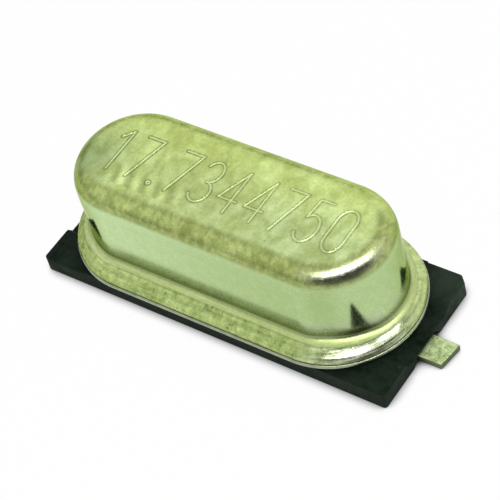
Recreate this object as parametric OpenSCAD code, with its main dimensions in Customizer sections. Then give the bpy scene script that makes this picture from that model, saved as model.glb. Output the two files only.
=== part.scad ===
// Surface-mount quartz crystal in a short drawn can, standing on an insulator plate.
// Millimetres. X runs along the can, Y across it and Z up. The seating plane is Z = 0,
// and the origin lies midway between the two leads.

/* [Insulator plate] */
// How far each end of the plate reaches past the flange
plate_margin = 0.285; // [0.1:0.005:0.5]
// How far each side of the flange hangs over the plate
flange_overhang = 0.225; // [0:0.005:0.3]
// Thickness of the plate
plate_thickness = 0.52; // [0.4:0.01:0.7]
// Leg of the small chamfer on three corners
plate_corner = 0.06; // [0.02:0.01:0.2]
// Leg of the larger chamfer that marks the +X +Y corner
key_corner = 0.24; // [0.1:0.01:0.4]
// How far the plate sits from the can's middle along X
plate_shift_x = -0.1; // [-0.15:0.01:0.15]
// How far the plate sits from the can's middle along Y
plate_shift_y = 0.09; // [-0.15:0.01:0.15]
// Width of the recess in the top of each end
recess_width = 2.24; // [1.6:0.02:2.6]
// Depth of the end recess below the plate's top
recess_depth = 0.2; // [0.12:0.01:0.22]
// How far the end recess runs in from the plate's end
recess_length = 0.75; // [0.4:0.05:1]
// How far each side of the end recess slopes in
recess_slope = 0.16; // [0.05:0.01:0.3]
// Distance between the inner walls of the two shallow corner sinks, across the plate
sink_spacing = 3.18; // [2.9:0.02:3.6]
// Distance from the plate's end to a corner sink
sink_rim = 0.19; // [0.1:0.01:0.4]
// Length of a corner sink
sink_length = 1.1; // [0.6:0.05:1.5]
// Depth of a corner sink
sink_depth = 0.05; // [0.02:0.01:0.12]

/* [Leads] */
// Distance between the two pins
lead_pitch = 4.88; // [4.6:0.02:5.2]
// Diameter of the lead wire
wire_diameter = 0.43; // [0.36:0.01:0.5]
// Radius of the bend, on the wire's centre line
bend_radius = 0.3; // [0.25:0.01:0.4]
// How far the right foot stands out past the plate's end
foot_out = 0.79; // [0.4:0.01:1.2]
// How far the left foot's cut end lies inside the plate's left end
left_inset = 0.03; // [0.01:0.01:0.2]
// Width of a flattened foot
foot_width = 0.8; // [0.6:0.01:0.9]
// Thickness of a flattened foot
foot_thickness = 0.2; // [0.15:0.01:0.24]
// How much shorter one side of the right foot's slanting tip is
tip_slant = 0.12; // [0:0.01:0.3]
// Room around the foot in its groove, and around the wire in its slot
lead_clearance = 0.06; // [0.03:0.01:0.1]
// How far each side of the groove widens towards the seating plane
groove_flare = 0.22; // [0.1:0.01:0.4]

/* [Base] */
// Height of the base's boss between the plate and the flange
standoff = 0.38; // [0.2:0.01:0.6]
// Width of the ledge that the flange makes at each end of the can
end_ledge = 0.445; // [0.43:0.005:0.6]
// Width of the ledge that the flange makes along each side of the can
side_ledge = 0.585; // [0.43:0.005:0.7]
// Thickness of the flange on the base
base_flange_thickness = 0.12; // [0.08:0.01:0.25]
// How far the base reaches up into the can
plug_height = 0.2; // [0.1:0.01:0.4]
// Gap between the base and the inside of the can
plug_clearance = 0.08; // [0.04:0.01:0.15]
// Diameter of a glass seal
seal_diameter = 1.3; // [1:0.02:1.6]

/* [Can] */
// Width of the can over the foot of its wall
can_width = 3.8; // [3.4:0.01:4.4]
// Room between a spring clip and the inside of the can's end
clip_room = 0.62; // [0.4:0.01:1]
// Height of the can above the base's flange
can_height = 3; // [2.4:0.02:4]
// Thickness of the drawn wall
can_wall = 0.26; // [0.18:0.01:0.34]
// How far each side of the wall leans in by the top
can_draft = 0.05; // [0.01:0.01:0.12]
// Outer radius of the rounded top edge
top_radius = 0.7; // [0.5:0.01:0.8]
// Radius of the hollow where the wall runs into the flange
foot_radius = 0.19; // [0.1:0.01:0.2]
// Thickness of the can's flange
can_flange_thickness = 0.32; // [0.26:0.01:0.4]
// Radius of the flange's rounded rim
rim_radius = 0.24; // [0.15:0.01:0.25]
// How far the can's flange stays inside the base's flange
rim_inset = 0.025; // [0:0.005:0.05]

/* [Crystal and holder] */
// Length of the quartz blank
blank_length = 8; // [7.2:0.05:9.6]
// Width of the quartz blank
blank_width = 1.9; // [1.6:0.05:2.2]
// Thickness of the quartz blank
blank_thickness = 0.15; // [0.1:0.01:0.25]
// Length of an electrode without its tab
electrode_length = 4.4; // [3.5:0.1:5]
// Width of an electrode
electrode_width = 1.5; // [1.1:0.05:1.55]
// Width of the tab that runs from an electrode to the blank's end
tab_width = 0.5; // [0.3:0.05:0.6]
// Thickness of an electrode
electrode_thickness = 0.02; // [0.01:0.005:0.03]
// How far a pin stands above the base inside the can
pin_stub = 0.3; // [0.15:0.01:0.5]
// Width of a spring clip
clip_width = 0.9; // [0.7:0.05:1.2]
// Thickness of a clip's strip
clip_thickness = 0.08; // [0.05:0.01:0.12]
// Height of a clip
clip_height = 0.7; // [0.5:0.02:1]
// Inner radius of a clip's bends
clip_bend = 0.08; // [0.04:0.01:0.12]
// How far a clip's lower arm runs past the pin's axis
clip_overrun = 0.3; // [0.22:0.01:0.5]
// Length of a clip's shelf under the blank
clip_shelf = 0.9; // [0.8:0.05:1.1]
// Gap between the blank's end and the clip
blank_gap = 0.1; // [0.06:0.01:0.2]
// Diameter of a dot of conductive glue
glue_diameter = 0.64; // [0.62:0.01:0.7]
// Gap between a glue dot and the clip's upright
glue_room = 0.04; // [0.02:0.01:0.08]
// Thickness of the glue under the blank
glue_bed = 0.05; // [0.04:0.01:0.1]
// Height of the glue above the blank
glue_cap = 0.12; // [0.06:0.01:0.2]

/* [Hidden] */
$fn = 96;
// How far a cutter reaches past the face that it cuts
overcut = 0.2;

// Heights, from the seating plane up
plate_top = plate_thickness;
flange_bottom = plate_top + standoff;
weld_level = flange_bottom + base_flange_thickness;
plug_top = weld_level + plug_height;
ledge = weld_level + can_flange_thickness;
can_top = weld_level + can_height;
pin_top = plug_top + pin_stub;
shelf_top = pin_top + clip_height;
blank_bottom = shelf_top + glue_bed;
blank_top = blank_bottom + blank_thickness;

// Lengths and widths, from the blank outwards
clip_outside = blank_length / 2 + blank_gap + clip_thickness;
can_length = 2 * (clip_outside + clip_room + can_wall);
flange_length = can_length + 2 * end_ledge;
flange_width = can_width + 2 * side_ledge;
plate_length = flange_length + 2 * plate_margin;
plate_width = flange_width - 2 * flange_overhang;

// Straight stretch of each outline with round ends
can_straight = can_length - can_width;
flange_straight = flange_length - flange_width;

// Lead and the slot and groove that it lies in
pin_x = lead_pitch / 2;
bend_height = wire_diameter / 2 + bend_radius;
foot_start = pin_x + bend_radius;
right_reach = plate_length / 2 + plate_shift_x + foot_out;
left_reach = plate_length / 2 - plate_shift_x - left_inset;
slot_width = wire_diameter + 2 * lead_clearance;
groove_width = foot_width + 2 * lead_clearance;
groove_height = foot_thickness + lead_clearance;

// Where a seal starts, and the middle of the glue dot on the +X side
seal_bottom = max(plate_top, bend_height);
glue_x = clip_outside - clip_thickness - glue_room - glue_diameter / 2;

// Half width of the can's outside and inside at a height, with the wall's lean
lean = atan(can_draft / (can_top - ledge));
function outside_at(z) = can_width / 2 - (z - ledge) * tan(lean);
function inside_at(z) = outside_at(z) - can_wall / cos(lean);

// Shared shapes

// Flat outline with round ends
module round_ended(length, width) {
    straight = length - width;
    square([straight, width], center = true);
    for (side = [-1, 1])
        translate([side * straight / 2, 0])
            circle(d = width);
}

// Carries a half section, drawn at +X, around an outline with round ends
module around(straight) {
    rotate([90, 0, 90])
        translate([0, 0, -straight / 2])
            linear_extrude(straight) {
                children();
                mirror([1, 0])
                    children();
            }
    for (turn = [0, 180])
        rotate(turn)
            translate([straight / 2, 0, 0])
                rotate(-90)
                    rotate_extrude(angle = 180)
                        children();
}

// Carries a YZ section along X between two places
module along_x(from, to) {
    rotate([90, 0, 90])
        translate([0, 0, from])
            linear_extrude(to - from)
                children();
}

// Rectangle with four rounded corners, from its lower left corner
module rounded_rectangle(size, radius) {
    translate([radius, 0])
        square([size.x - 2 * radius, size.y]);
    translate([0, radius])
        square([size.x, size.y - 2 * radius]);
    for (x = [radius, size.x - radius], y = [radius, size.y - radius])
        translate([x, y])
            circle(radius);
}

// Half section of a drawn cup: a leaning wall and a rounded top edge.
// The wall is given by its half widths at the bottom and at the arc's centre.
module cup_section(bottom, top, bottom_half, centre_half, radius) {
    centre = [centre_half - radius / cos(lean), top - radius];
    polygon([
        [0, bottom],
        [bottom_half, bottom],
        centre + radius * [cos(lean), sin(lean)],
        [centre.x, top],
        [0, top],
    ]);
    intersection() {
        translate(centre)
            circle(radius);
        translate([0, bottom])
            square([bottom_half, top - bottom]);
    }
}

// Insulator plate

module plate_outline() {
    x = plate_length / 2;
    y = plate_width / 2;
    c = plate_corner;
    k = key_corner;
    polygon([
        [x - c, -y], [x, c - y], [x, y - k], [x - k, y],
        [c - x, y], [-x, y - c], [-x, c - y], [c - x, -y],
    ]);
}

// Shallow sink beside the +X +Y corner, open to the plate's long side
module corner_sink() {
    translate([plate_length / 2 - sink_rim - sink_length, sink_spacing / 2, plate_top - sink_depth])
        cube([sink_length, plate_width / 2 - sink_spacing / 2 + overcut, sink_depth + overcut]);
}

module recess_section() {
    top = recess_width / 2;
    floor_half = top - recess_slope;
    polygon([
        [-floor_half, plate_top - recess_depth],
        [floor_half, plate_top - recess_depth],
        [top, plate_top],
        [top, plate_top + overcut],
        [-top, plate_top + overcut],
        [-top, plate_top],
    ]);
}

module groove_section() {
    top = groove_width / 2;
    mouth = top + groove_flare;
    polygon([
        [-mouth, -overcut],
        [mouth, -overcut],
        [mouth, 0],
        [top, groove_height],
        [-top, groove_height],
        [-mouth, 0],
    ]);
}

// Slot that the pin and its bend pass through
module pin_slot() {
    reach = bend_radius + wire_diameter / 2;
    translate([pin_x + reach / 2, 0, -overcut])
        linear_extrude(plate_thickness + 2 * overcut)
            round_ended(reach + slot_width, slot_width);
}

module insulator_plate() {
    end = plate_length / 2;
    color([0.12, 0.15, 0.12])
        difference() {
            translate([plate_shift_x, plate_shift_y, 0])
                linear_extrude(plate_thickness)
                    plate_outline();
            for (turn = [0, 180]) {
                translate([plate_shift_x, plate_shift_y, 0])
                    rotate(turn) {
                        along_x(end - recess_length, end + overcut)
                            recess_section();
                        corner_sink();
                    }
                rotate(turn) {
                    pin_slot();
                    along_x(pin_x, end + abs(plate_shift_x) + overcut)
                        groove_section();
                }
            }
        }
}

// Base with its glass seals

module base() {
    boss_length = can_straight + 2 * inside_at(weld_level) - 2 * plug_clearance;
    boss_width = 2 * inside_at(weld_level) - 2 * plug_clearance;
    color([0.74, 0.76, 0.66])
        difference() {
            union() {
                translate([0, 0, flange_bottom])
                    linear_extrude(base_flange_thickness)
                        round_ended(flange_length, flange_width);
                translate([0, 0, plate_top])
                    linear_extrude(plug_top - plate_top)
                        round_ended(boss_length, boss_width);
            }
            for (side = [-1, 1])
                translate([side * pin_x, 0, plate_top - overcut])
                    cylinder(d = seal_diameter, h = plug_top - plate_top + 2 * overcut);
        }
}

module glass_seal(side) {
    color([0.35, 0.5, 0.45])
        translate([side * pin_x, 0, seal_bottom])
            difference() {
                cylinder(d = seal_diameter, h = plug_top - seal_bottom);
                translate([0, 0, -overcut])
                    cylinder(d = wire_diameter, h = plug_top - seal_bottom + 2 * overcut);
            }
}

module glass_seal_left() {
    glass_seal(-1);
}

module glass_seal_right() {
    glass_seal(1);
}

// Can

// Hollow fillet between the wall and the flange
module foot_fillet_section() {
    centre_z = ledge + foot_radius;
    centre = [outside_at(centre_z) + foot_radius / cos(lean), centre_z];
    on_wall = centre - foot_radius * [cos(lean), sin(lean)];
    middle = inside_at(ledge) + can_wall / 2;
    difference() {
        polygon([
            [middle, weld_level],
            [centre.x, weld_level],
            [centre.x, ledge],
            on_wall,
            [middle, on_wall.y],
        ]);
        translate(centre)
            circle(foot_radius);
    }
}

// Flange with its rounded rim
module can_flange_section() {
    edge = flange_width / 2 - rim_inset;
    square_edge = ledge - rim_radius;
    translate([0, weld_level])
        square([edge, square_edge - weld_level]);
    translate([0, weld_level])
        square([edge - rim_radius, can_flange_thickness]);
    intersection() {
        translate([edge - rim_radius, square_edge])
            circle(rim_radius);
        translate([0, square_edge])
            square([edge, rim_radius]);
    }
}

module can() {
    inner_radius = top_radius - can_wall;
    color([0.76, 0.8, 0.56])
        difference() {
            union() {
                around(can_straight) {
                    cup_section(
                        weld_level, can_top,
                        outside_at(weld_level), outside_at(can_top - top_radius), top_radius
                    );
                    foot_fillet_section();
                }
                around(flange_straight)
                    can_flange_section();
            }
            around(can_straight)
                cup_section(
                    weld_level - overcut, can_top - can_wall,
                    inside_at(weld_level - overcut), inside_at(can_top - top_radius), inner_radius
                );
        }
}

// Leads

// Round pin, bend and flattened foot of a lead that runs to +X
module lead(tip, slant) {
    half = foot_width / 2;
    translate([pin_x, 0, bend_height])
        cylinder(d = wire_diameter, h = pin_top - bend_height);
    translate([pin_x + bend_radius, 0, bend_height])
        rotate([90, 0, 0])
            rotate(180)
                rotate_extrude(angle = 90)
                    translate([bend_radius, 0])
                        circle(d = wire_diameter);
    translate([foot_start, 0, wire_diameter / 2])
        sphere(d = wire_diameter);
    linear_extrude(foot_thickness)
        polygon([
            [foot_start, -half],
            [tip - slant, -half],
            [tip, half],
            [foot_start, half],
        ]);
}

module lead_left() {
    color([0.7, 0.76, 0.58])
        rotate(180)
            lead(left_reach, 0);
}

module lead_right() {
    color([0.7, 0.76, 0.58])
        lead(right_reach, tip_slant);
}

// Crystal and its holder

// C-shaped strip: the lower arm on the pin, the upper arm under the blank
module spring_clip() {
    lower_arm = clip_outside - pin_x + clip_overrun;
    inner_height = clip_height - 2 * clip_thickness;
    translate([0, clip_width / 2, pin_top])
        rotate([90, 0, 0])
            linear_extrude(clip_width)
                difference() {
                    translate([clip_outside - lower_arm, 0])
                        rounded_rectangle([lower_arm, clip_height], clip_bend + clip_thickness);
                    translate([clip_outside - lower_arm, clip_thickness])
                        square([lower_arm - clip_thickness - clip_bend, inner_height]);
                    translate([clip_outside - lower_arm, clip_thickness])
                        rounded_rectangle([lower_arm - clip_thickness, inner_height], clip_bend);
                    translate([clip_outside - lower_arm - overcut, clip_thickness])
                        square([lower_arm + overcut - clip_shelf, clip_height]);
                    translate([clip_outside - lower_arm - overcut, -overcut])
                        square([clip_bend + clip_thickness + overcut, clip_height + 2 * overcut]);
                }
}

module spring_clip_left() {
    color([0.8, 0.78, 0.7])
        rotate(180)
            spring_clip();
}

module spring_clip_right() {
    color([0.8, 0.78, 0.7])
        spring_clip();
}

module quartz_blank() {
    color([0.9, 0.94, 0.95])
        translate([-blank_length / 2, -blank_width / 2, blank_bottom])
            cube([blank_length, blank_width, blank_thickness]);
}

// Metal film with a tab to the +X end of the blank
module electrode() {
    linear_extrude(electrode_thickness) {
        square([electrode_length, electrode_width], center = true);
        translate([0, -tab_width / 2])
            square([blank_length / 2, tab_width]);
    }
}

module electrode_top() {
    color([0.86, 0.86, 0.84])
        translate([0, 0, blank_top])
            electrode();
}

module electrode_bottom() {
    color([0.86, 0.86, 0.84])
        translate([0, 0, blank_bottom - electrode_thickness])
            rotate(180)
                electrode();
}

// Conductive glue that wraps one end of the blank on its clip
module glue_dot(side) {
    color([0.62, 0.62, 0.6])
        difference() {
            translate([side * glue_x, 0, shelf_top])
                cylinder(d = glue_diameter, h = blank_top + glue_cap - shelf_top);
            quartz_blank();
            electrode_top();
            electrode_bottom();
        }
}

module glue_dot_left() {
    glue_dot(-1);
}

module glue_dot_right() {
    glue_dot(1);
}

insulator_plate();
base();
can();
glass_seal_left();
glass_seal_right();
lead_left();
lead_right();
spring_clip_left();
spring_clip_right();
quartz_blank();
electrode_top();
electrode_bottom();
glue_dot_left();
glue_dot_right();
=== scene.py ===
"""Looks of a surface-mount quartz crystal in a drawn can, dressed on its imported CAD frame."""

import math

import bmesh
import bpy
import numpy as np
from mathutils import Matrix, Vector


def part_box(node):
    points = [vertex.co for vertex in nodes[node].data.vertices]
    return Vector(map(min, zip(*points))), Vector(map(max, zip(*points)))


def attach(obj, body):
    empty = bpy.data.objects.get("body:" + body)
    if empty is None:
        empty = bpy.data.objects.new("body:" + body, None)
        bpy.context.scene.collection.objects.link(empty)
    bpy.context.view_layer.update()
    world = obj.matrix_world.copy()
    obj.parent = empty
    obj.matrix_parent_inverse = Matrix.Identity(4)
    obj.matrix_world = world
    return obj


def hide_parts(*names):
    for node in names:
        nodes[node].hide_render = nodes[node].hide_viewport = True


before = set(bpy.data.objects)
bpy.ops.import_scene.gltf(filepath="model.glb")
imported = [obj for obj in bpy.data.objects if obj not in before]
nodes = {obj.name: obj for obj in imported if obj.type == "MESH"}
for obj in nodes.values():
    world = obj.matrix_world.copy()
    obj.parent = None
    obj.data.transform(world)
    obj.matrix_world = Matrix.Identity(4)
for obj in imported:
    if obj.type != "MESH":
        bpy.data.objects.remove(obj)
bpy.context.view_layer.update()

# Sizes are in millimetres, and meshes are made in metres
MM = 0.001


def node_box(name):
    """Lowest and highest corner of a CAD node, in millimetres."""
    low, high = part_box(name)
    return low / MM, high / MM


# Heights and outlines taken from the frame
can_low, can_high = node_box("can")
base_low, base_high = node_box("base")
seal_low, seal_high = node_box("glass_seal_right")
WELD_LEVEL = can_low.z
CAN_TOP = can_high.z
RIM_HALF = can_high.y
RIM_STRAIGHT = can_high.x - can_high.y
BASE_HALF = base_high.y
PLATE_TOP = base_low.z
PLUG_TOP = base_high.z
SEAL_RADIUS = seal_high.y
PIN_X = seal_high.x - seal_high.y

# Drawn can
WALL_HALF = 1.9
WALL_STRAIGHT = 3.16
WALL_THICKNESS = 0.26
WALL_LEAN = 0.05
TOP_RADIUS = 0.7
LEDGE = WELD_LEVEL + 0.32
CREASE_HALF = 2.09
CREASE_LEVEL = LEDGE + 0.04
FOOT_REACH = 0.305
FOOT_RISE = 0.20
FOOT_TURN = math.radians(68)
RIM_SLOPE = 25
RIM_BEND = 14
RIM_ROUND = 38
SEAM_RADIUS = 0.045
NECK_DEPTH = 0.08
NECK_LEVEL = 1.72
NECK_TOP = 3.05
NECK_SKEW = 0.66
LEFT_END_NECK = 0.65
WALL_ANGLE = math.atan(WALL_LEAN / (CAN_TOP - LEDGE))
WALL_ACROSS = WALL_THICKNESS / math.cos(WALL_ANGLE)
ARC_LEVEL = CAN_TOP - TOP_RADIUS
RIPPLE_LENGTH = 0.47

# Stamped base
BASE_FLANGE_THICKNESS = 0.12
PLUG_CLEARANCE = 0.08
BASE_EDGE = 0.035
HOLE_STEPS = 64

# Edges of the plate and the leads, broken by a small round
PLATE_EDGE = 0.02
LEAD_EDGE = 0.025

# Angles, in degrees, past which an edge is shaded sharp: on new pieces and on softened copies
SHARP_ANGLE = 40
SOFTENED_SHARP_ANGLE = 50

# Steps of the can's mesh: around its outline the engraved top is twice as fine as the wall
STRAIGHT_STEPS = 352
ARC_STEPS = 116
FINE_TOP_HALF = 0.95
FINE_TOP_STEPS = 58
TOP_BORDER_STEPS = 8
WALL_STEPS_FROM = 2
RIM_SHARES = (0.97, 0.93, 0.88, 0.82, 0.75, 0.67, 0.58, 0.48, 0.38, 0.28, 0.18, 0.09, 0)

# Number engraved in the top, one stroke wide
NUMBER = "17.7344750"
FIRST_DIGIT_X = -3.64
DIGIT_PITCH = 0.855
POINT_PITCH = 0.665
DIGIT_WIDTH = 0.56
DIGIT_HEIGHT = 1.48
NUMBER_Y = -0.83
POINT_RADIUS = 0.05
STROKE_HALF = 0.030
STROKE_DEPTH = 0.018
BURR_HEIGHT = 0.006

# Zones of the can's finish, some of them painted shade, written on its mesh
CAN_ZONES = (
    "satin", "edge", "foot", "low", "dull", "crease_shade", "rim", "seam", "line", "bare", "shade", "cut", "lip",
    "ripple",
)

# Half length of the straight part of lines run around the rim, and relief of the can's finish
LINES_STRAIGHT = 3.02
GRAIN_HEIGHT = 0.0036
RIDGE_HEIGHT = 0.005
PIT_DEPTH = 0.003

# Where zones lie around the outline: outward turns in degrees, from +X towards +Y, and their widths
FRONT_TURN = -44
# Bare worn metal, with painted shade under its highlight
WORN_AND_SHADED_TURN = -38
WORN_AND_SHADED_WIDTH = 34
# Painted shade in the crease at the front corner of the right end
CREASE_SHADE_TURN = -42
CREASE_SHADE_WIDTH = 17
BRIGHT_CORNERS = ((-42, 15), (226, 22))
SHADED_TURN = -66
SHADED_WIDTH = 22

# Camera of the photograph: where it stands, how it is turned, and its lens
CAMERA_AZIMUTH = math.radians(46.104)
CAMERA_ELEVATION = math.radians(47.485)
CAMERA_ROLL = math.radians(-16.396)
CAMERA_DISTANCE = 57.031
CAMERA_AIM = Vector((0, 0, 2.0))
AIM_RIGHT = 0.2346
AIM_UP = -0.4003
FOCAL_LENGTH = 149.14
SENSOR_WIDTH = 36

# Lamp, a long panel high at the front right, its angles in degrees
LAMP_AZIMUTH = 59
LAMP_ELEVATION = 56
LAMP_DISTANCE = 150
LAMP_WIDTH = 200
LAMP_HEIGHT = 36
LAMP_BRIGHTNESS = 8.0

# Floor and tent: the light they give, and how bright shiny metal sees parts of the tent
FLOOR_SIZE = 2000
FLOOR_DROP = 0.01
FLOOR_GLOW = 0.97
FLOOR_GREY = 0.86
CONTACT_REACH = 0.5
FILL_LIGHT = 0.45
FRONT_HORIZON = 0.5
BACK_CARD = 0.12
LAMP_CARD = 0.07
LAMP_CARD_AZIMUTH = math.radians(50)
WHITE = (1, 1, 1, 1)


# Nodes

def feed(tree, socket, value):
    """Gives a socket a link or a plain value."""
    if isinstance(value, bpy.types.NodeSocket):
        tree.links.new(value, socket)
    elif value is not None:
        socket.default_value = value


def math_node(tree, operation, first, second=None):
    """Math node with links or plain numbers on its inputs."""
    node = tree.nodes.new("ShaderNodeMath")
    node.operation = operation
    for socket, value in zip(node.inputs, (first, second)):
        feed(tree, socket, value)
    return node.outputs["Value"]


def times(tree, first, second):
    """Product of two values."""
    return math_node(tree, "MULTIPLY", first, second)


def ranged(tree, value, low, high, to_low=0.0, to_high=1.0, kind="SMOOTHSTEP"):
    """Step of a value from one range to another, smooth unless said otherwise."""
    node = tree.nodes.new("ShaderNodeMapRange")
    node.interpolation_type = kind
    node.inputs["From Min"].default_value = low
    node.inputs["From Max"].default_value = high
    node.inputs["To Min"].default_value = to_low
    node.inputs["To Max"].default_value = to_high
    tree.links.new(value, node.inputs["Value"])
    return node.outputs["Result"]


def number_mix(tree, share, first, second):
    """Value between two others."""
    node = tree.nodes.new("ShaderNodeMix")
    node.data_type = "FLOAT"
    sockets = [s for s in node.inputs if s.type == "VALUE"]
    for socket, value in zip(sockets, (share, first, second)):
        tree.links.new(value, socket)
    return next(s for s in node.outputs if s.type == "VALUE")


def split_vector(tree, vector):
    """The three parts of a vector."""
    node = tree.nodes.new("ShaderNodeSeparateXYZ")
    tree.links.new(vector, node.inputs["Vector"])
    return list(node.outputs)


def mixed_shader(tree, share, first, second):
    """Mix of two shaders."""
    node = tree.nodes.new("ShaderNodeMixShader")
    for socket, value in zip(node.inputs, (share, first, second)):
        tree.links.new(value, socket)
    return node.outputs["Shader"]


# Camera, floor and light

def direction(azimuth, elevation):
    """Unit vector from the object to a place around it; azimuth 0 is -Y and 90 degrees is +X."""
    flat = math.cos(elevation)
    return Vector((math.sin(azimuth) * flat, -math.cos(azimuth) * flat, math.sin(elevation)))


def make_camera():
    """Camera that sees the part as the photograph does."""
    back = direction(CAMERA_AZIMUTH, CAMERA_ELEVATION)
    level_right = (-back).cross(Vector((0, 0, 1))).normalized()
    level_up = level_right.cross(-back)
    turn = Matrix.Rotation(CAMERA_ROLL, 3, back)
    right = turn @ level_right
    up = turn @ level_up
    place = CAMERA_AIM + back * CAMERA_DISTANCE
    looks_at = CAMERA_AIM + right * AIM_RIGHT + up * AIM_UP
    out = (place - looks_at).normalized()
    side = up.cross(out).normalized()
    axes = Matrix((side, out.cross(side), out)).transposed()
    camera = bpy.data.objects.new("camera", bpy.data.cameras.new("camera"))
    camera.data.lens = FOCAL_LENGTH
    camera.data.sensor_width = SENSOR_WIDTH
    camera.data.clip_start = MM
    camera.matrix_world = Matrix.Translation(place * MM) @ axes.to_4x4()
    bpy.context.scene.collection.objects.link(camera)
    bpy.context.scene.camera = camera


def make_lamp():
    """Long panel lamp that faces the part, its width level."""
    lamp = bpy.data.lights.new("front_lamp", "AREA")
    lamp.shape = "RECTANGLE"
    lamp.size = LAMP_WIDTH * MM
    lamp.size_y = LAMP_HEIGHT * MM
    lamp.energy = LAMP_BRIGHTNESS * math.pi * lamp.size * lamp.size_y
    panel = bpy.data.objects.new("front_lamp", lamp)
    out = direction(math.radians(LAMP_AZIMUTH), math.radians(LAMP_ELEVATION))
    turn = out.to_track_quat("Z", "Y")
    panel.matrix_world = Matrix.Translation(out * LAMP_DISTANCE * MM) @ turn.to_matrix().to_4x4()
    bpy.context.scene.collection.objects.link(panel)


def plain_sheet(name, width, height, placement):
    """Flat stage piece, such as the floor."""
    x = width * MM / 2
    y = height * MM / 2
    mesh = bpy.data.meshes.new(name)
    mesh.from_pydata([(-x, -y, 0), (x, -y, 0), (x, y, 0), (-x, y, 0)], [], [(0, 1, 2, 3)])
    sheet = bpy.data.objects.new(name, mesh)
    sheet.matrix_world = placement
    bpy.context.scene.collection.objects.link(sheet)
    return sheet


def seen_directly(tree):
    """Two masks: rays that see a thing directly or in a reflection, and those in a reflection alone."""
    path = tree.nodes.new("ShaderNodeLightPath")
    shiny = math_node(tree, "MAXIMUM", path.outputs["Is Glossy Ray"], path.outputs["Is Transmission Ray"])
    return math_node(tree, "MAXIMUM", path.outputs["Is Camera Ray"], shiny), shiny


def floor_paper():
    """White paper that stays white to the eye and keeps a little of the object's shadow."""
    paper = bpy.data.materials.new("floor_paper")
    paper.use_nodes = True
    tree = paper.node_tree
    tree.nodes.clear()
    seen, _ = seen_directly(tree)
    nearness = tree.nodes.new("ShaderNodeAmbientOcclusion")
    nearness.samples = 16
    nearness.inputs["Distance"].default_value = CONTACT_REACH * MM
    white = tree.nodes.new("ShaderNodeEmission")
    white.inputs["Color"].default_value = WHITE
    tree.links.new(ranged(tree, nearness.outputs["AO"], 0.25, 0.85), white.inputs["Strength"])
    matt = tree.nodes.new("ShaderNodeBsdfDiffuse")
    matt.inputs["Color"].default_value = (FLOOR_GREY, FLOOR_GREY, FLOOR_GREY, 1)
    glow = times(tree, seen, FLOOR_GLOW)
    look = mixed_shader(tree, glow, matt.outputs["BSDF"], white.outputs["Emission"])
    out = tree.nodes.new("ShaderNodeOutputMaterial")
    tree.links.new(look, out.inputs["Surface"])
    return paper


def white_cloth(tree, strength):
    """White of the tent at a strength, which is a number or a link."""
    node = tree.nodes.new("ShaderNodeBackground")
    node.inputs["Color"].default_value = WHITE
    feed(tree, node.inputs["Strength"], strength)
    return node.outputs["Background"]


def light_tent():
    """White tent with soft fill light, in which shiny metal sees a grey horizon and two dark cards.

    The horizon is grey at the front. One card stands low behind to the left, the other is under the lamp.
    """
    world = bpy.data.worlds.new("light_tent")
    world.use_nodes = True
    tree = world.node_tree
    tree.nodes.clear()
    seen, shiny = seen_directly(tree)
    way = tree.nodes.new("ShaderNodeTexCoord").outputs["Generated"]
    across, backward, up = split_vector(tree, way)
    front = ranged(tree, up, -0.05, 0.5, FRONT_HORIZON, 1)
    back_card = ranged(tree, up, 0.10, 0.36, BACK_CARD, 1)
    back = math_node(tree, "MAXIMUM", back_card, ranged(tree, across, -0.50, -0.22))
    grey = number_mix(tree, ranged(tree, backward, 0.2, -0.4), back, front)
    towards = tree.nodes.new("ShaderNodeVectorMath")
    towards.operation = "DOT_PRODUCT"
    towards.inputs[1].default_value = direction(LAMP_CARD_AZIMUTH, 0)
    tree.links.new(way, towards.inputs[0])
    card = ranged(tree, towards.outputs["Value"], 0.40, 0.72)
    card = times(tree, card, ranged(tree, up, 0.05, 0.38))
    card = times(tree, card, ranged(tree, up, 0.76, 0.68))
    cloth = times(tree, grey, ranged(tree, card, 0, 1, 1, LAMP_CARD, "LINEAR"))
    mirrored = mixed_shader(tree, shiny, white_cloth(tree, 1), white_cloth(tree, cloth))
    look = mixed_shader(tree, seen, white_cloth(tree, FILL_LIGHT), mirrored)
    out = tree.nodes.new("ShaderNodeOutputWorld")
    tree.links.new(look, out.inputs["Surface"])
    bpy.context.scene.world = world


def make_stage():
    """Floor, lamp and tent."""
    floor = plain_sheet("floor", FLOOR_SIZE, FLOOR_SIZE, Matrix.Translation((0, 0, -FLOOR_DROP * MM)))
    floor.data.materials.append(floor_paper())
    make_lamp()
    light_tent()


# Meshes that run around an outline with round ends

def stations(straight_steps, arc_steps):
    """Places around the outline: how far along the straight, from -1 to 1, and the outward turn."""
    forward = np.linspace(-1, 1, straight_steps, endpoint=False)
    quarter = math.pi / 2
    along = np.concatenate([forward, np.ones(arc_steps), -forward, -np.ones(arc_steps)])
    turn = np.concatenate([
        np.full(straight_steps, -quarter),
        np.linspace(-quarter, quarter, arc_steps, endpoint=False),
        np.full(straight_steps, quarter),
        np.linspace(quarter, 3 * quarter, arc_steps, endpoint=False),
    ])
    return along, turn


def ring(places, straight, half_width, height):
    """Points of one round-ended outline at a height; half_width is the radius of its ends."""
    along, turn = places
    return np.stack([
        along * straight + half_width * np.cos(turn),
        half_width * np.sin(turn),
        np.full(len(along), float(height)),
    ], axis=1)


def band_faces(first, second, count):
    """Quads between two rings that start at the given vertex numbers."""
    here = np.arange(count)
    after = (here + 1) % count
    return np.stack([first + here, first + after, second + after, second + here], axis=1)


def stitch_faces(coarse, fine, count):
    """Triangles from a ring of count points to a ring with twice as many."""
    here = np.arange(count)
    after = (here + 1) % count
    left = fine + 2 * here
    middle = fine + 2 * here + 1
    right = fine + 2 * after
    return np.concatenate([
        np.stack([coarse + here, coarse + after, middle], axis=1),
        np.stack([coarse + here, middle, left], axis=1),
        np.stack([coarse + after, right, middle], axis=1),
    ])


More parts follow.
